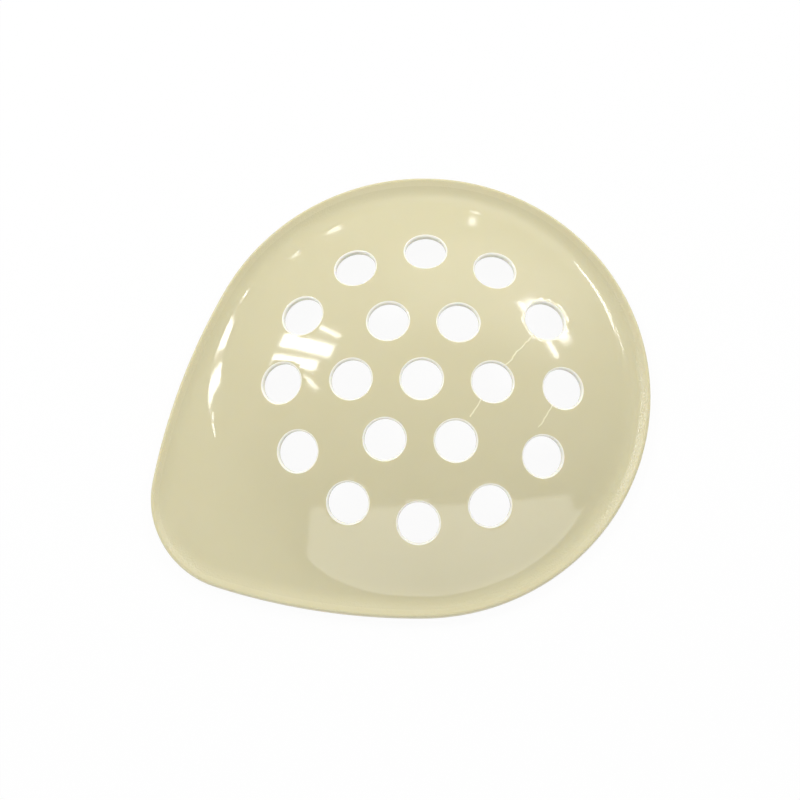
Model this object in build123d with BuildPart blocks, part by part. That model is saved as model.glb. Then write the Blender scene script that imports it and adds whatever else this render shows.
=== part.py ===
from build123d import *
from math import acos, asin, atan2, cos, degrees, hypot, pi, sin, sqrt
import os

os.makedirs("parts", exist_ok=True)

# A perforated eye shield: one thin plastic moulding, domed over the eye, with a teardrop rim.
# The origin is the middle of the footprint on the surface the rim rests on. +Z points out of
# the dome, and -X points to the narrow end of the teardrop.

# Footprint: a large circle as wide as the shield, and a small one that stands out past it as
# the tail, joined by two long arcs
width = 70.0
tail_length = 11.0
tip_radius = 14.5
flank_radius = 100.0

# Dome over the eye: part of a ball, which a straight ridge carries on towards the tail, down
# to the flat tab at its end
height = 10.0
wall = 1.0
tab_length = 10.3

# Rim: a hollow throat where the dome turns out, a flat land and a lip that lifts
throat_radius = 5.0
land_width = 0.3
lip_width = 1.4
lip_crest = 0.35
lip_rise = 0.3
crest_chamfer = 0.2
foot_chamfer = 0.5

# Viewing holes: one in the middle and two rings round it
hole_diameter = 6.2
hole_flare = 0.3
flare_angle = 90.0
inner_ring_radius = 10.75
outer_ring_radius = 21.5
inner_ring_count = 6
outer_ring_count = 12
pattern_turn = -2.5

# How far a cutting solid runs past the face that it opens
overrun = 2.0

# Footprint, worked out: the dome stands over the large circle's centre
rim_radius = width / 2
length = width + tail_length
dome_x = tail_length / 2
tail_reach = rim_radius + tail_length
tip_centre = tail_reach - tip_radius

# Ball, worked out: its foot leaves just room for the throat, the land and the lip
cap_height = height - wall
throat_end = rim_radius - lip_width - land_width
foot_radius = (throat_end + sqrt(throat_end**2 - 4 * throat_radius * cap_height)) / 2
dome_radius = (foot_radius**2 + cap_height**2) / (2 * cap_height)
dome_centre_z = height - dome_radius

# Ridge, worked out: the line that touches the ball and comes down to the tab
ridge_foot = tail_reach - tab_length
foot_drop = wall - dome_centre_z
foot_distance = hypot(ridge_foot, foot_drop)
ridge_fall = atan2(ridge_foot, foot_drop) - acos(dome_radius / foot_distance)

# The ball's centre, with its +Z down the ridge
ridge_plane = Plane(
    (dome_x, 0, dome_centre_z),
    x_dir=(sin(ridge_fall), 0, -cos(ridge_fall)),
    z_dir=(-cos(ridge_fall), 0, -sin(ridge_fall)),
)


def teardrop_arcs():
    # The flank arcs touch the large and the small circle from outside both centres
    to_rim, to_tip = flank_radius - rim_radius, flank_radius - tip_radius
    flank_along = (to_rim**2 - to_tip**2 + tip_centre**2) / (2 * tip_centre)
    flank_across = sqrt(to_rim**2 - flank_along**2)
    rim_x = dome_x + flank_along * rim_radius / to_rim
    rim_y = flank_across * rim_radius / to_rim
    tip_x = dome_x - tip_centre - (tip_centre - flank_along) * tip_radius / to_tip
    tip_y = flank_across * tip_radius / to_tip
    ThreePointArc((rim_x, -rim_y), (length / 2, 0), (rim_x, rim_y))
    RadiusArc((rim_x, rim_y), (tip_x, tip_y), -flank_radius)
    ThreePointArc((tip_x, tip_y), (-length / 2, 0), (tip_x, -tip_y))
    RadiusArc((tip_x, -tip_y), (rim_x, -rim_y), -flank_radius)


def hole_planes():
    # Each hole is square to the dome, on a ring measured in plan from the middle hole
    planes = [Plane((dome_x, 0, height))]
    rings = ((inner_ring_count, inner_ring_radius, 1 / 2), (outer_ring_count, outer_ring_radius, 0))
    for count, ring_radius, step_share in rings:
        lean = asin(ring_radius / dome_radius)
        for k in range(count):
            turn = (k + step_share) * 2 * pi / count + pattern_turn * pi / 180
            outward = Vector(sin(lean) * cos(turn), sin(lean) * sin(turn), cos(lean))
            centre = Vector(dome_x, 0, dome_centre_z) + outward * dome_radius
            planes.append(Plane(centre, z_dir=outward))
    return planes


with BuildPart() as dome:
    # Everything under the outer surface, down to the middle of the rim
    with Locations(ridge_plane):
        Sphere(dome_radius)
        Cylinder(dome_radius, length, align=(Align.CENTER, Align.CENTER, Align.MIN))
    split(bisect_by=Plane.XY.offset(wall / 2))

with BuildPart() as eye_space:
    # Everything under the inner surface, down past the surface the rim rests on
    with Locations(ridge_plane):
        Sphere(dome_radius - wall)
        Cylinder(dome_radius - wall, length, align=(Align.CENTER, Align.CENTER, Align.MIN))
    split(bisect_by=Plane.XY.offset(-overrun))

with BuildPart() as shield_shell:
    # Rim over the whole footprint, as thick as its lip is high
    with BuildSketch():
        with BuildLine():
            teardrop_arcs()
        make_face()
    extrude(amount=wall + lip_rise)

    # Shallow dish that leaves the lip standing round it
    with BuildSketch(Plane.XY.offset(wall)):
        with BuildLine():
            teardrop_arcs()
        make_face()
        offset(amount=-lip_width, kind=Kind.ARC)
    lip_slope = degrees(atan2(lip_width - lip_crest, lip_rise))
    extrude(amount=lip_rise, taper=-lip_slope, mode=Mode.SUBTRACT)

    # Outer edges, broken above and below
    flats = shield_shell.faces().filter_by(GeomType.PLANE).sort_by(Axis.Z)
    chamfer(flats[-1].outer_wire().edges(), crest_chamfer)
    chamfer(flats[0].outer_wire().edges(), foot_chamfer)

    # Dome, with the hollow throat where it turns out into the rim
    add(dome.part)
    land = shield_shell.faces().filter_by(GeomType.PLANE).sort_by(Axis.Z)[-2]
    fillet(land.inner_wires()[0].edges(), throat_radius)

    # Eye space, with a round heel that keeps the wall even under the throat
    add(eye_space.part, mode=Mode.SUBTRACT)
    seat = shield_shell.faces().filter_by(GeomType.PLANE).sort_by(Axis.Z)[0]
    fillet(seat.inner_wires()[0].edges(), throat_radius + wall)

    # Viewing holes, square to the dome, each with a flared mouth
    hole_radius = hole_diameter / 2
    with Locations(hole_planes()):
        CounterSinkHole(hole_radius, hole_radius + hole_flare, 2 * wall, flare_angle)

shield_shell.part.label = "shield_shell"
export_step(shield_shell.part, "parts/shield_shell.step")
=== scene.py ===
import math

import bmesh
import bpy
from mathutils import Matrix, Vector


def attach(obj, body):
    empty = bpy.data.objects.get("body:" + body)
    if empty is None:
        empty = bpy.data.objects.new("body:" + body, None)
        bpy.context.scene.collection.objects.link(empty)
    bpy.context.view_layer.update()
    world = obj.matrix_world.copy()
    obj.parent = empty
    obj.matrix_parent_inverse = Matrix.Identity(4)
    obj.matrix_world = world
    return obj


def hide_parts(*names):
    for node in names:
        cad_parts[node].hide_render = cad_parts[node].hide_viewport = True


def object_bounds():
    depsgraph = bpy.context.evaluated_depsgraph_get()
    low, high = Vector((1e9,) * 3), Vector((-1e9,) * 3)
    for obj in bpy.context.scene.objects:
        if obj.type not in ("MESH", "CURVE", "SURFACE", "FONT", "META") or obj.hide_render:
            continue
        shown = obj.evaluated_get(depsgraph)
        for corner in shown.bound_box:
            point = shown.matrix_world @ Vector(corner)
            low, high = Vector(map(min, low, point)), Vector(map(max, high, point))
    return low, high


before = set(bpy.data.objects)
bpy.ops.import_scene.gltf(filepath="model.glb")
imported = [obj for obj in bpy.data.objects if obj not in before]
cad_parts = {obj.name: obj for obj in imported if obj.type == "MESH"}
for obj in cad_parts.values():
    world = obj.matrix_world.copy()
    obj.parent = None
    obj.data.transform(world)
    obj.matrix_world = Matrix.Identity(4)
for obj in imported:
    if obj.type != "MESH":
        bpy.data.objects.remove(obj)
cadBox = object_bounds()
mm = 0.001

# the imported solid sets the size: its box is as wide as the large circle of the teardrop
low, high = cadBox
rimRadius = (high.y - low.y) / 2
domeX = high.x - rimRadius      # the dome's axis crosses the line y = 0 here


def linear(hexCode):
    # sRGB hex to the linear colour that a shader socket takes
    parts = [int(hexCode[i:i + 2], 16) / 255 for i in (0, 2, 4)]
    return tuple(c / 12.92 if c <= 0.04045 else ((c + 0.055) / 1.055) ** 2.4 for c in parts) + (1.0,)


def addNode(tree, kind, settings=None, values=None, links=None):
    # one node with its settings, its socket values and what feeds its sockets
    node = tree.nodes.new(kind)
    for name, value in (settings or {}).items():
        setattr(node, name, value)
    for socket, value in (values or {}).items():
        node.inputs[socket].default_value = value
    for socket, source in (links or {}).items():
        tree.links.new(source, node.inputs[socket])
    return node


# Viewing holes: one in the middle and two rings round it. The cores that cut them flare at both
# ends, which rounds the mouths.
holes = {
    "radius": 3.1 * mm,
    "mouthRound": 0.32 * mm,
    "mouthTurn": math.radians(78),    # stops short of level, so the cut meets the dome cleanly
    "overrun": 1.2 * mm,
    "coreSegments": 64,
    "coreSteps": 6,
    "innerRing": 10.75 * mm,
    "outerRing": 21.5 * mm,
    "innerCount": 6,
    "outerCount": 12,
    "patternTurn": math.radians(-2.5),
}


def holeCentre(ring, number, h):
    # seen from straight above; the inner ring stands half a step on from the outer one
    count, radius = h[ring + "Count"], h[ring + "Ring"]
    halfStep = 0.5 if ring == "inner" else 0.0
    turn = (number + halfStep) * 2 * math.pi / count + h["patternTurn"]
    return Vector((domeX + radius * math.cos(turn), radius * math.sin(turn), 0.0))


# Ivory plastic: injection moulded, cream and a little milky. It shines like a boiled sweet,
# takes some light into its thin edges and has a faint waviness from the mould. Where two streams
# of melt met behind a hole's core they left a knit line, fine, wavy and paler.
ivory = {
    "body": "CFC8A2",
    "pale": "D4CDA9",
    "ior": 1.49,
    "roughness": 0.07,
    "roughnessSpread": 0.03,
    "milkiness": 0.35,
    "lightReach": 1.3 * mm,          # how far light wanders inside
    "reachByColour": (1.0, 0.8, 0.45),    # red goes furthest
    "cloudSize": 14 * mm,            # faint drift in colour and gloss
    "cloudDetail": 3.0,
    "waveSize": 6 * mm,
    "waveDetail": 1.0,
    "waveDepth": 0.006 * mm,
    "grainSize": 0.35 * mm,
    "grainDetail": 2.0,
    "grainDepth": 0.0005 * mm,
    "lipRoughness": 0.30,            # the lip is satin, so it sparkles instead of mirroring
    # a real satin grain is well under 0.1 mm; this one is coarser and deeper, or it wouldn't show
    "lipGrainSize": 0.28 * mm,
    "lipGrainDetail": 1.0,
    "lipGrainDepth": 0.06 * mm,
    # painted light: the hole walls and their rounded mouths take this paler colour, which stands in for the
    # light that comes in through them from two sides
    "mouth": "F8F5E8",               # round the holes, where light comes in from two sides
    "knit": "F4EFD0",
    "knitLines": [
        # from one hole's rim, the way to another hole, and for what share of the gap
        ("outer", 0, "inner", 5, 1.0),
        ("inner", 5, "inner", 4, 0.7),
        ("outer", 11, "outer", 9, 0.28),
    ],
    "knitWidth": 0.34 * mm,
    "knitHeight": 0.03 * mm,
    "knitWobble": 1.1 * mm,
    "knitWave": 2.4 * mm,
    "knitDetail": 2.0,
}


def knitMask(tree, place, p, h):
    # 1 on a knit line, falling to 0 at its sides; a line runs from one hole's rim towards another's
    noise = addNode(tree, "ShaderNodeTexNoise", links={"Vector": place},
                    values={"Scale": 1 / p["knitWave"], "Detail": p["knitDetail"]})
    # the noise swings round 0.5, and the lines are drawn flat, seen from above
    sway = addNode(tree, "ShaderNodeVectorMath", {"operation": "SUBTRACT"}, {1: (0.5, 0.5, 0.5)},
                   {0: noise.outputs["Color"]})
    bent = addNode(tree, "ShaderNodeVectorMath", {"operation": "MULTIPLY_ADD"}, {1: (p["knitWobble"],) * 3},
                   {0: sway.outputs[0], 2: place})
    flat = addNode(tree, "ShaderNodeVectorMath", {"operation": "MULTIPLY"}, {1: (1, 1, 0)},
                   {0: bent.outputs[0]})
    mask = None
    for ringA, a, ringB, b, share in p["knitLines"]:
        first, last = holeCentre(ringA, a, h), holeCentre(ringB, b, h)
        way = (last - first).normalized()
        half = ((last - first).length - 2 * h["radius"]) * share / 2
        middle = first + way * (h["radius"] + half)
        own = addNode(tree, "ShaderNodeMapping", {"vector_type": "TEXTURE"},
                      {"Location": middle, "Rotation": (0, 0, math.atan2(way.y, way.x))},
                      {"Vector": flat.outputs[0]})
        folded = addNode(tree, "ShaderNodeVectorMath", {"operation": "ABSOLUTE"}, links={0: own.outputs[0]})
        past = addNode(tree, "ShaderNodeVectorMath", {"operation": "SUBTRACT"}, {1: (half, 0, 0)},
                       {0: folded.outputs[0]})
        beyond = addNode(tree, "ShaderNodeVectorMath", {"operation": "MAXIMUM"}, links={0: past.outputs[0]})
        gap = addNode(tree, "ShaderNodeVectorMath", {"operation": "LENGTH"}, links={0: beyond.outputs[0]})
        line = addNode(tree, "ShaderNodeMapRange", {"interpolation_type": "SMOOTHSTEP"},
                       {"From Max": p["knitWidth"] / 2, "To Min": 1.0, "To Max": 0.0},
                       {"Value": gap.outputs["Value"]}).outputs["Result"]
        if mask:
            line = addNode(tree, "ShaderNodeMath", {"operation": "MAXIMUM"},
                           links={0: mask, 1: line}).outputs[0]
        mask = line
    return mask


def makeIvoryPlastic(p, h):
    material = bpy.data.materials.new("mouldedIvoryPlastic")
    material.use_nodes = True
    tree = material.node_tree
    tree.nodes.clear()
    place = addNode(tree, "ShaderNodeTexCoord").outputs["Object"]
    knit = knitMask(tree, place, p, h)

    clouds = addNode(tree, "ShaderNodeTexNoise", links={"Vector": place},
                     values={"Scale": 1 / p["cloudSize"], "Detail": p["cloudDetail"]})
    shade = addNode(tree, "ShaderNodeMixRGB",
                    values={"Color1": linear(p["body"]), "Color2": linear(p["pale"])},
                    links={"Fac": clouds.outputs["Fac"]})
    # painted light: the faces that the hole cores cut, the walls and rounded mouths, are mixed towards the
    # paler mouth colour, standing in for light that comes in through the thin edges and up off the paper
    # below
    mouth = addNode(tree, "ShaderNodeAttribute", {"attribute_name": "mouth"})
    lip = addNode(tree, "ShaderNodeAttribute", {"attribute_name": "lip"}).outputs["Fac"]
    paleMouthPaintedLight = addNode(tree, "ShaderNodeMixRGB", values={"Color2": linear(p["mouth"])},
                    links={"Fac": mouth.outputs["Fac"], "Color1": shade.outputs["Color"]})
    colour = addNode(tree, "ShaderNodeMixRGB", values={"Color2": linear(p["knit"])},
                     links={"Fac": knit, "Color1": paleMouthPaintedLight.outputs["Color"]})
    gloss = addNode(tree, "ShaderNodeMapRange",
                    values={"To Min": p["roughness"] - p["roughnessSpread"] / 2,
                            "To Max": p["roughness"] + p["roughnessSpread"] / 2},
                    links={"Value": clouds.outputs["Fac"]})
    satin = addNode(tree, "ShaderNodeMapRange", values={"To Max": p["lipRoughness"]},
                    links={"Value": lip, "To Min": gloss.outputs["Result"]})

    waves = addNode(tree, "ShaderNodeTexNoise", links={"Vector": place},
                    values={"Scale": 1 / p["waveSize"], "Detail": p["waveDetail"]})
    grain = addNode(tree, "ShaderNodeTexNoise", links={"Vector": place},
                    values={"Scale": 1 / p["grainSize"], "Detail": p["grainDetail"]})
    blast = addNode(tree, "ShaderNodeTexNoise", links={"Vector": place},
                    values={"Scale": 1 / p["lipGrainSize"], "Detail": p["lipGrainDetail"]})
    blasted = addNode(tree, "ShaderNodeMath", {"operation": "MULTIPLY"},
                      links={0: blast.outputs["Fac"], 1: lip})
    bumps = [(waves.outputs["Fac"], p["waveDepth"]), (grain.outputs["Fac"], p["grainDepth"]),
             (blasted.outputs[0], p["lipGrainDepth"]), (knit, p["knitHeight"])]
    normal = None
    for height, depth in bumps:
        under = {"Normal": normal} if normal else {}
        normal = addNode(tree, "ShaderNodeBump", values={"Distance": depth},
                         links={"Height": height, **under}).outputs["Normal"]

    plastic = addNode(tree, "ShaderNodeBsdfPrincipled",
                      values={"IOR": p["ior"], "Subsurface Weight": p["milkiness"],
                              "Subsurface Radius": p["reachByColour"], "Subsurface Scale": p["lightReach"]},
                      links={"Base Color": colour.outputs["Color"], "Roughness": satin.outputs["Result"],
                             "Normal": normal})
    addNode(tree, "ShaderNodeOutputMaterial", links={"Surface": plastic.outputs["BSDF"]})
    return material


ivoryPlastic = makeIvoryPlastic(ivory, holes)
print("ivory plastic ready")


# Shield shell: one closed skin, from the top of the dome over the throat and the lip, and back
# underneath. The dome is a ball, drawn out past tailStart towards the narrow end.
shell = {
    "height": 10.0 * mm,         # to where the top would be without the middle hole
    "tipRadius": 14.5 * mm,
    "flankRadius": 100.0 * mm,
    "domeRadius": 61.0 * mm,     # an estimate: fits to the holes gave 57 to 72 mm
    "wall": 1.0 * mm,
    "tabLength": 7.0 * mm,       # flat stretch at the narrow end
    "tailStart": 25.0 * mm,
    "tailEase": 8.0 * mm,
    "tailSpread": math.radians(18),
    "throatBlend": 1.1 * mm,     # the throat's curve fills its corner by a quarter of this
    "throatRadius": 5.0 * mm,    # of the solid's throat; the heel under it has the wall's thickness more
    "lipWidth": 3.2 * mm,
    "lipRise": 0.95 * mm,
    "blastEnd": 3.0 * mm,        # it is glossy inside this, and turns satin over the run
    "blastRun": 2.0 * mm,
    "crestRound": 0.32 * mm,
    "footRound": 0.5 * mm,
    "columnStep": 0.6 * mm,      # spacing of the mesh round the rim
    "rowStep": 0.42 * mm,        # and across it
    "bandWidth": 8.0 * mm,       # the rows follow the outline this far in
    "domeRows": 30,
    "firstRow": 2,               # the middle hole takes what is inside this one
    "edgeSteps": 6,
}
ballZ = shell["height"] - shell["domeRadius"]
footRadius = math.sqrt(shell["domeRadius"] ** 2 - (shell["wall"] - ballZ) ** 2)
tailBulge = high.x - low.x - rimRadius - shell["tabLength"] - footRadius


def outlineColumns(s):
    # where each column of the mesh crosses the outline: centre and radius of the arc, direction out
    toTip = high.x - low.x - rimRadius - s["tipRadius"]
    toRimCentre, toTipCentre = s["flankRadius"] - rimRadius, s["flankRadius"] - s["tipRadius"]
    along = (toRimCentre ** 2 - toTipCentre ** 2 + toTip ** 2) / (2 * toTip)
    across = math.sqrt(toRimCentre ** 2 - along ** 2)
    rimEnd, tipEnd = math.atan2(across, along), math.atan2(across, along - toTip)
    arcs = [(domeX, 0.0, rimRadius, -rimEnd, rimEnd),
            (domeX - along, -across, s["flankRadius"], rimEnd, tipEnd),
            (domeX - toTip, 0.0, s["tipRadius"], tipEnd, 2 * math.pi - tipEnd),
            (domeX - along, across, s["flankRadius"], 2 * math.pi - tipEnd, 2 * math.pi - rimEnd)]
    columns = []
    for x, y, radius, first, last in arcs:
        steps = round((last - first) * radius / s["columnStep"])
        for i in range(steps):
            turn = first + (last - first) * i / steps
            columns.append((x, y, radius, math.cos(turn), math.sin(turn)))
    return columns


def ease(run, s):
    # grows slowly over the ease length, then in step with the run
    if run <= 0:
        return 0.0
    return run ** 2 / (2 * s["tailEase"]) if run < s["tailEase"] else run - s["tailEase"] / 2


def domeHeight(x, y, radius, footZ, s):
    along, across = domeX - x, y
    swell = tailBulge * math.exp(-(math.atan2(across, along) / s["tailSpread"]) ** 2 / 2)
    draw = swell / ease(footRadius + swell - s["tailStart"], s)
    run = math.hypot(along, across) - s["tailStart"]
    reach = run + s["tailStart"] - draw * ease(run, s)
    foot = math.sqrt(radius ** 2 - (footZ - ballZ) ** 2)
    if reach < foot:
        return ballZ + math.sqrt(radius ** 2 - reach ** 2)
    return footZ - (reach - foot) * foot / (footZ - ballZ)


def blendUp(a, b, width):
    # the higher of the two, with their corner filled in by a smooth curve
    return max(a, b) + max(width - abs(a - b), 0.0) ** 2 / (4 * width)


def topZ(x, y, s):
    return blendUp(domeHeight(x, y, s["domeRadius"], s["wall"], s), s["wall"], s["throatBlend"])


def underZ(x, y, s):
    # the heel's curve is as much wider than the throat's as its radius is
    width = s["throatBlend"] * (1 + s["wall"] / s["throatRadius"])
    return blendUp(domeHeight(x, y, s["domeRadius"] - s["wall"], 0.0, s), 0.0, width)


def blastShare(inward, s):
    # 1 at the outer edge, where the lip is satin, and 0 where it is glossy
    return min(max((s["blastEnd"] - inward) / s["blastRun"], 0.0), 1.0)


def lipZ(inward, s):
    return s["lipRise"] * (max(s["lipWidth"] - inward, 0.0) / s["lipWidth"]) ** 2


def makeShellSkin(s):
    columns = outlineColumns(s)
    bandRows = [s["bandWidth"] - i * s["rowStep"] for i in range(int(s["bandWidth"] / s["rowStep"]))]
    lean = math.atan(2 * s["lipRise"] / s["lipWidth"] * (1 - s["crestRound"] / s["lipWidth"]))
    crestIn = s["crestRound"] * (1 + math.sin(lean))      # the crest's curve leaves the lip here
    bandRows = [d for d in bandRows if d > crestIn + s["rowStep"] / 2] + [crestIn]
    turns = [i / s["edgeSteps"] for i in range(s["edgeSteps"] + 1)]
    mesh = bmesh.new()
    lip = mesh.verts.layers.float.new("lip")

    def ring(points, share=0.0):
        verts = [mesh.verts.new(p) for p in points]
        for vert in verts:
            vert[lip] = share
        return verts

    def inwardPoints(d):
        return [(x + (r - d) * cx, y + (r - d) * cy) for x, y, r, cx, cy in columns]

    def domePoints(share):
        return [(domeX + (x - domeX) * share, y * share) for x, y in inwardPoints(s["bandWidth"])]

    # down the dome, then over the throat and up the lip
    rings = []
    shares = [i / s["domeRows"] for i in range(s["firstRow"], s["domeRows"])]
    for share in shares:
        rings.append(ring([(x, y, topZ(x, y, s)) for x, y in domePoints(share)]))
    for d in bandRows:
        points = [(x, y, topZ(x, y, s) + lipZ(d, s)) for x, y in inwardPoints(d)]
        rings.append(ring(points, blastShare(d, s)))

    # round the crest and the foot
    crestZ = s["wall"] + lipZ(crestIn, s) - s["crestRound"] * math.cos(lean)
    for turn in turns[1:]:
        angle = lean - turn * (lean + math.pi / 2)
        d = s["crestRound"] * (1 + math.sin(angle))
        z = crestZ + s["crestRound"] * math.cos(angle)
        rings.append(ring([(x, y, z) for x, y in inwardPoints(d)], 1.0))
    for turn in turns:
        angle = -math.pi / 2 * (1 + turn)
        d = s["footRound"] * (1 + math.sin(angle))
        z = s["footRound"] * (1 + math.cos(angle))
        rings.append(ring([(x, y, z) for x, y in inwardPoints(d)], 1.0))

    # back underneath
    for d in reversed([d for d in bandRows if d > s["footRound"] + s["rowStep"] / 2]):
        rings.append(ring([(x, y, underZ(x, y, s)) for x, y in inwardPoints(d)]))
    for share in reversed(shares):
        rings.append(ring([(x, y, underZ(x, y, s)) for x, y in domePoints(share)]))

    count = len(columns)
    for inner, outer in zip(rings, rings[1:]):
        for i in range(count):
            mesh.faces.new((inner[i - 1], inner[i], outer[i], outer[i - 1]))
    for last, z in ((rings[0], topZ(domeX, 0.0, s)), (rings[-1], underZ(domeX, 0.0, s))):
        middle = mesh.verts.new((domeX, 0.0, z))
        for i in range(count):
            mesh.faces.new((last[i - 1], last[i], middle))
    bmesh.ops.recalc_face_normals(mesh, faces=mesh.faces)
    skin = bpy.data.meshes.new("shieldSkin")
    mesh.to_mesh(skin)
    mesh.free()
    return skin


shellSkin = bpy.data.objects.new("shieldSkin", makeShellSkin(shell))
bpy.context.scene.collection.objects.link(shellSkin)
print("shell skin:", len(shellSkin.data.polygons), "faces")


# Hole cutting: a core with flared ends for one hole, and a node tree that stands one core square
# to the dome at the middle and round two rings, and cuts them all out of the skin.
def coreProfile(h, s):
    # radius and height along the core, from above the dome to below it; height 0 is the dome's skin
    mouth = h["radius"] + h["mouthRound"]
    outerR, innerR = s["domeRadius"], s["domeRadius"] - s["wall"]
    topFace = math.sqrt(outerR ** 2 - mouth ** 2) - outerR
    underFace = math.sqrt(innerR ** 2 - mouth ** 2) - outerR
    upper, lower = [], []
    for i in range(h["coreSteps"] + 1):
        angle = h["mouthTurn"] * i / h["coreSteps"]
        r = mouth - h["mouthRound"] * math.cos(angle)
        upper.append((r, topFace - h["mouthRound"] * (1 - math.sin(angle))))
        lower.append((r, underFace + h["mouthRound"] * (1 - math.sin(angle))))
    out = h["overrun"]
    lift = out / math.tan(h["mouthTurn"])
    upper.append((upper[-1][0] + out, upper[-1][1] + lift))
    lower.append((lower[-1][0] + out, lower[-1][1] - lift))
    return list(reversed(upper)) + lower


def makeHoleCore(h, s):
    mesh = bmesh.new()
    count = h["coreSegments"]
    turns = [2 * math.pi * i / count for i in range(count)]
    rings = []
    for r, z in coreProfile(h, s):
        rings.append([mesh.verts.new((r * math.cos(turn), r * math.sin(turn), z)) for turn in turns])
    for upper, lower in zip(rings, rings[1:]):
        for i in range(count):
            mesh.faces.new((upper[i - 1], upper[i], lower[i], lower[i - 1]))
    mesh.faces.new(rings[0])
    mesh.faces.new(reversed(rings[-1]))
    bmesh.ops.recalc_face_normals(mesh, faces=mesh.faces)
    core = bpy.data.meshes.new("holeCore")
    mesh.to_mesh(core)
    mesh.free()
    # the plastic paints the faces marked here paler, as painted light round the holes
    mouth = core.attributes.new("mouth", "FLOAT", "FACE")      # marks what this core cuts
    mouth.data.foreach_set("value", [1.0] * len(core.polygons))
    return core


def makePerforationTree():
    tree = bpy.data.node_groups.new("perforateDome", "GeometryNodeTree")
    sockets = [
        ("Skin", "NodeSocketGeometry"),
        ("Core", "NodeSocketObject"),
        ("Ball Centre", "NodeSocketVector"),
        ("Ball Radius", "NodeSocketFloat"),
        ("Inner Ring", "NodeSocketFloat"),
        ("Inner Count", "NodeSocketInt"),
        ("Outer Ring", "NodeSocketFloat"),
        ("Outer Count", "NodeSocketInt"),
        ("Pattern Turn", "NodeSocketFloat"),
        ("Plastic", "NodeSocketMaterial"),
    ]
    for name, kind in sockets:
        tree.interface.new_socket(name=name, in_out="INPUT", socket_type=kind)
    tree.interface.new_socket(name="Shell", in_out="OUTPUT", socket_type="NodeSocketGeometry")
    given = addNode(tree, "NodeGroupInput").outputs

    def ringOfPoints(radius, count, turn):
        circle = addNode(tree, "GeometryNodeMeshCircle", links={"Vertices": count, "Radius": radius})
        spin = addNode(tree, "ShaderNodeCombineXYZ", links={"Z": turn})
        return addNode(tree, "GeometryNodeTransform",
                       links={"Geometry": circle.outputs["Mesh"], "Rotation": spin.outputs["Vector"]})

    # the inner ring stands half a step on from the outer one
    halfStep = addNode(tree, "ShaderNodeMath", {"operation": "DIVIDE"}, {0: math.pi},
                       {1: given["Inner Count"]})
    innerTurn = addNode(tree, "ShaderNodeMath", {"operation": "ADD"},
                        links={0: halfStep.outputs[0], 1: given["Pattern Turn"]})
    inner = ringOfPoints(given["Inner Ring"], given["Inner Count"], innerTurn.outputs[0])
    outer = ringOfPoints(given["Outer Ring"], given["Outer Count"], given["Pattern Turn"])
    middle = addNode(tree, "GeometryNodeMeshLine", values={"Count": 1})
    points = addNode(tree, "GeometryNodeJoinGeometry")
    for part in (middle, inner, outer):
        tree.links.new(part.outputs[0], points.inputs[0])

    # lift each point from the flat on to the ball
    flat = addNode(tree, "GeometryNodeInputPosition").outputs[0]
    reach = addNode(tree, "ShaderNodeVectorMath", {"operation": "DOT_PRODUCT"}, links={0: flat, 1: flat})
    square = addNode(tree, "ShaderNodeMath", {"operation": "MULTIPLY"},
                     links={0: given["Ball Radius"], 1: given["Ball Radius"]})
    rest = addNode(tree, "ShaderNodeMath", {"operation": "SUBTRACT"},
                   links={0: square.outputs[0], 1: reach.outputs["Value"]})
    rise = addNode(tree, "ShaderNodeMath", {"operation": "SQRT"}, links={0: rest.outputs[0]})
    riseVector = addNode(tree, "ShaderNodeCombineXYZ", links={"Z": rise.outputs[0]})
    outward = addNode(tree, "ShaderNodeVectorMath", {"operation": "ADD"},
                      links={0: flat, 1: riseVector.outputs["Vector"]})
    onBall = addNode(tree, "ShaderNodeVectorMath", {"operation": "ADD"},
                     links={0: outward.outputs[0], 1: given["Ball Centre"]})
    lifted = addNode(tree, "GeometryNodeSetPosition",
                     links={"Geometry": points.outputs[0], "Position": onBall.outputs[0]})

    # stand a core on each, square to the ball, and cut them all out
    lean = addNode(tree, "ShaderNodeVectorMath", {"operation": "SUBTRACT"},
                   links={0: addNode(tree, "GeometryNodeInputPosition").outputs[0], 1: given["Ball Centre"]})
    upright = addNode(tree, "FunctionNodeAlignRotationToVector", {"axis": "Z"},
                      links={"Vector": lean.outputs[0]})
    core = addNode(tree, "GeometryNodeObjectInfo", links={"Object": given["Core"]})
    cores = addNode(tree, "GeometryNodeInstanceOnPoints",
                    links={"Points": lifted.outputs[0], "Instance": core.outputs["Geometry"],
                           "Rotation": upright.outputs[0]})
    solidCores = addNode(tree, "GeometryNodeRealizeInstances", links={"Geometry": cores.outputs[0]})
    cut = addNode(tree, "GeometryNodeMeshBoolean", {"operation": "DIFFERENCE", "solver": "MANIFOLD"},
                  links={"Mesh 1": given["Skin"], "Mesh 2": solidCores.outputs[0]})
    smooth = addNode(tree, "GeometryNodeSetShadeSmooth", links={"Geometry": cut.outputs["Mesh"]})
    real = addNode(tree, "GeometryNodeRealizeInstances", links={"Geometry": smooth.outputs[0]})
    dressed = addNode(tree, "GeometryNodeSetMaterial",
                      links={"Geometry": real.outputs[0], "Material": given["Plastic"]})
    addNode(tree, "NodeGroupOutput", links={"Shell": dressed.outputs[0]})
    return tree


def setInputs(modifier, values):
    for item in modifier.node_group.interface.items_tree:
        if item.item_type == "SOCKET" and item.in_out == "INPUT" and item.name in values:
            modifier[item.identifier] = values[item.name]


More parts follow.
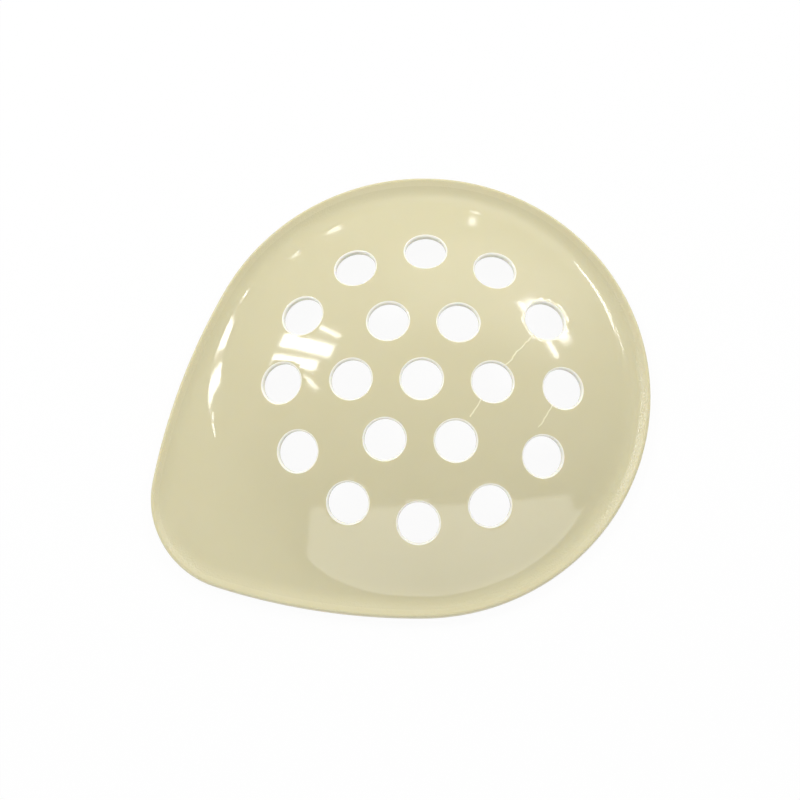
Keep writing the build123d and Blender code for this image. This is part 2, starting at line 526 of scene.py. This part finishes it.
holeCore = bpy.data.objects.new("holeCore", makeHoleCore(holes, shell))
bpy.context.scene.collection.objects.link(holeCore)
perforate = shellSkin.modifiers.new("perforate", "NODES")
perforate.node_group = makePerforationTree()
setInputs(perforate, {
    "Core": holeCore, "Ball Centre": (domeX, 0.0, ballZ), "Ball Radius": shell["domeRadius"],
    "Inner Ring": holes["innerRing"], "Inner Count": holes["innerCount"],
    "Outer Ring": holes["outerRing"], "Outer Count": holes["outerCount"],
    "Pattern Turn": holes["patternTurn"], "Plastic": ivoryPlastic,
})
graph = bpy.context.evaluated_depsgraph_get()
shellMesh = bpy.data.meshes.new_from_object(shellSkin.evaluated_get(graph))
shellSkin.modifiers.remove(perforate)
bpy.data.objects.remove(shellSkin)
bpy.data.objects.remove(holeCore)

shieldShell = bpy.data.objects.new("shieldShell", shellMesh)
bpy.context.scene.collection.objects.link(shieldShell)
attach(shieldShell, "root")
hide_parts("shield_shell")
print("perforated shell:", len(shellMesh.polygons), "faces,", len(shellMesh.materials), "material")


# Camera: nearly straight above the dome, leaning towards the lower edge of the picture
look = {
    "distance": 450 * mm,        # from the top of the dome; an estimate, which the photo hardly fixes
    "azimuth": math.radians(-28.0),
    "tilt": math.radians(15.8),
    "roll": math.radians(-3.2),
    "lens": 134.1,
    "aimRight": 3.27 * mm,       # the dome's top stands this far right of the picture's middle
    "aimUp": 3.26 * mm,
}
domeTop = Vector((domeX, 0.0, shell["height"]))


def makeCamera(v):
    camera = bpy.data.objects.new("camera", bpy.data.cameras.new("camera"))
    bpy.context.scene.collection.objects.link(camera)
    camera.data.lens = v["lens"]
    turned = (Matrix.Translation(domeTop) @ Matrix.Rotation(v["azimuth"], 4, "Z")
              @ Matrix.Rotation(v["tilt"], 4, "X") @ Matrix.Rotation(v["roll"], 4, "Z"))
    aim = (Matrix.Rotation(math.atan(v["aimRight"] / v["distance"]), 4, "Y")
           @ Matrix.Rotation(-math.atan(v["aimUp"] / v["distance"]), 4, "X"))
    camera.matrix_world = turned @ Matrix.Translation((0.0, 0.0, v["distance"])) @ aim
    bpy.context.scene.camera = camera
    return turned


seen = makeCamera(look)      # its axes are right, up and towards the viewer, from the dome's top


# Floor, daylight and lamps
room = {
    "floorSize": 900 * mm,
    "floorColour": "F4F4F4",
    "whiteShare": 0.94,          # how much of the floor is plain white where it is seen or mirrored
    "daylight": 0.66,
    "daylightLean": (0.06, 0.05, 0.0),    # more of it comes from this way, as right, up, towards the viewer
    "lampDistance": 0.6,         # metres
}
lamps = [
    # name, middle of one end, middle of the other end, depth, brightness beside white paper, how
    # far in from its edges it fades, and whether it lights the plastic or only shows in its gloss;
    # the ends are ways from the dome's top, as right, up and towards the viewer
    ("softboxAbove", (-0.35, 0.78, 0.35), (0.85, 0.72, 0.35), 0.80, 0.8, 0.35, True),
    ("cardBelow", (-0.95, -0.50, 0.66), (0.94, -0.39, 0.66), 0.75, 1.8, 0.03, False),
    ("softboxLeft", (-0.90, -0.05, 0.25), (-0.55, -0.85, 0.25), 0.50, 0.8, 0.40, True),
    ("leftTubeThin", (-0.534, 0.708, 0.462), (-0.436, 0.686, 0.582), 0.021, 15.0, 0.0, True),
    ("leftTubeUpper", (-0.674, 0.621, 0.399), (-0.479, 0.616, 0.625), 0.068, 18.0, 0.0, True),
    ("leftTubeLower", (-0.725, 0.536, 0.432), (-0.554, 0.545, 0.629), 0.053, 18.0, 0.0, True),
    ("leftTubeShort", (-0.613, 0.492, 0.618), (-0.562, 0.441, 0.700), 0.015, 16.0, 0.0, True),
    ("rightTubeThin", (0.430, 0.800, 0.410), (0.630, 0.564, 0.530), 0.028, 15.0, 0.0, True),
    ("rightTubeWide", (0.440, 0.814, 0.370), (0.680, 0.600, 0.435), 0.080, 13.0, 0.2, True),
    ("farSpotLeft", (-0.548, 0.838, -0.004), (-0.498, 0.867, -0.004), 0.050, 7.0, 0.3, True),
    ("farSpotMiddle", (-0.400, 0.918, -0.052), (-0.325, 0.947, -0.052), 0.070, 7.0, 0.3, True),
    ("farSpotRight", (0.160, 0.986, -0.010), (0.200, 0.979, -0.010), 0.080, 7.0, 0.3, True),
]


def litRay(tree):
    # 1 where a ray comes from the camera, from a mirror or through glass, else 0
    path = addNode(tree, "ShaderNodeLightPath")
    mirrored = addNode(tree, "ShaderNodeMath", {"operation": "MAXIMUM"},
                       links={0: path.outputs["Is Camera Ray"], 1: path.outputs["Is Glossy Ray"]})
    return addNode(tree, "ShaderNodeMath", {"operation": "MAXIMUM"},
                   links={0: mirrored.outputs[0], 1: path.outputs["Is Transmission Ray"]}).outputs[0]


def makeFloor(r):
    half = r["floorSize"] / 2
    mesh = bpy.data.meshes.new("floor")
    corners = [(-half, -half, 0), (half, -half, 0), (half, half, 0), (-half, half, 0)]
    mesh.from_pydata(corners, [], [(0, 1, 2, 3)])
    floor = bpy.data.objects.new("floor", mesh)
    bpy.context.scene.collection.objects.link(floor)
    material = bpy.data.materials.new("whitePaper")
    material.use_nodes = True
    tree = material.node_tree
    tree.nodes.clear()
    paper = addNode(tree, "ShaderNodeBsdfDiffuse", values={"Color": linear(r["floorColour"])})
    white = addNode(tree, "ShaderNodeEmission")
    share = addNode(tree, "ShaderNodeMath", {"operation": "MULTIPLY"}, {1: r["whiteShare"]},
                    {0: litRay(tree)})
    both = addNode(tree, "ShaderNodeMixShader",
                   links={0: share.outputs[0], 1: paper.outputs[0], 2: white.outputs[0]})
    addNode(tree, "ShaderNodeOutputMaterial", links={"Surface": both.outputs[0]})
    mesh.materials.append(material)


def makeDaylight(r):
    world = bpy.data.worlds.new("daylight")
    bpy.context.scene.world = world
    world.use_nodes = True
    tree = world.node_tree
    tree.nodes.clear()
    lean = seen.to_3x3() @ Vector(r["daylightLean"])
    way = addNode(tree, "ShaderNodeTexCoord").outputs["Generated"]
    more = addNode(tree, "ShaderNodeVectorMath", {"operation": "DOT_PRODUCT"}, {1: lean}, {0: way})
    light = addNode(tree, "ShaderNodeMath", {"operation": "ADD"}, {1: r["daylight"]},
                    {0: more.outputs["Value"]})
    strength = addNode(tree, "ShaderNodeMapRange", values={"To Max": 1.0},
                       links={"Value": litRay(tree), "To Min": light.outputs[0]})
    sky = addNode(tree, "ShaderNodeBackground", values={"Color": linear("FFFFFF")},
                  links={"Strength": strength.outputs["Result"]})
    addNode(tree, "ShaderNodeOutputWorld", links={"Surface": sky.outputs[0]})


def fadeEdges(data, share):
    # full brightness in the middle of the lamp, none at its edges
    data.use_nodes = True
    tree = data.node_tree
    tree.nodes.clear()
    across = addNode(tree, "ShaderNodeNewGeometry").outputs["Parametric"]
    axes = addNode(tree, "ShaderNodeSeparateXYZ", links={"Vector": across})
    fades = []
    for axis in "XY":
        fromMiddle = addNode(tree, "ShaderNodeMath", {"operation": "SUBTRACT"}, {1: 0.5},
                             {0: axes.outputs[axis]})
        off = addNode(tree, "ShaderNodeMath", {"operation": "ABSOLUTE"}, links={0: fromMiddle.outputs[0]})
        fades.append(addNode(tree, "ShaderNodeMapRange", {"interpolation_type": "SMOOTHSTEP"},
                             {"From Min": 0.5 - share, "From Max": 0.5, "To Min": 1.0, "To Max": 0.0},
                             {"Value": off.outputs[0]}).outputs["Result"])
    both = addNode(tree, "ShaderNodeMath", {"operation": "MULTIPLY"}, links={0: fades[0], 1: fades[1]})
    glow = addNode(tree, "ShaderNodeEmission", links={"Strength": both.outputs[0]})
    addNode(tree, "ShaderNodeOutputLight", links={"Surface": glow.outputs[0]})


def makeLamp(name, oneEnd, otherEnd, depth, brightness, fade, lights, r):
    # a flat panel from end to end, square to its way to the dome
    first, last = Vector(oneEnd) * r["lampDistance"], Vector(otherEnd) * r["lampDistance"]
    middle, along = (first + last) / 2, last - first
    data = bpy.data.lights.new(name, "AREA")
    data.shape = "RECTANGLE"
    data.size = along.length
    data.size_y = depth * r["lampDistance"]
    data.energy = 4 * brightness * data.size * data.size_y      # watts that make it so bright
    if fade:
        fadeEdges(data, fade)
    outward = middle.normalized()
    across = outward.cross(along).normalized()
    lamp = bpy.data.objects.new(name, data)
    bpy.context.scene.collection.objects.link(lamp)
    axes = Matrix((across.cross(outward), across, outward)).transposed().to_4x4()
    lamp.matrix_world = seen @ Matrix.Translation(middle) @ axes
    lamp.visible_camera = False
    lamp.visible_diffuse = lights


makeFloor(room)
makeDaylight(room)
for lamp in lamps:
    makeLamp(*lamp, room)
bpy.context.scene.view_settings.view_transform = "Standard"
print("stage, camera and", len(lamps), "lamps ready")
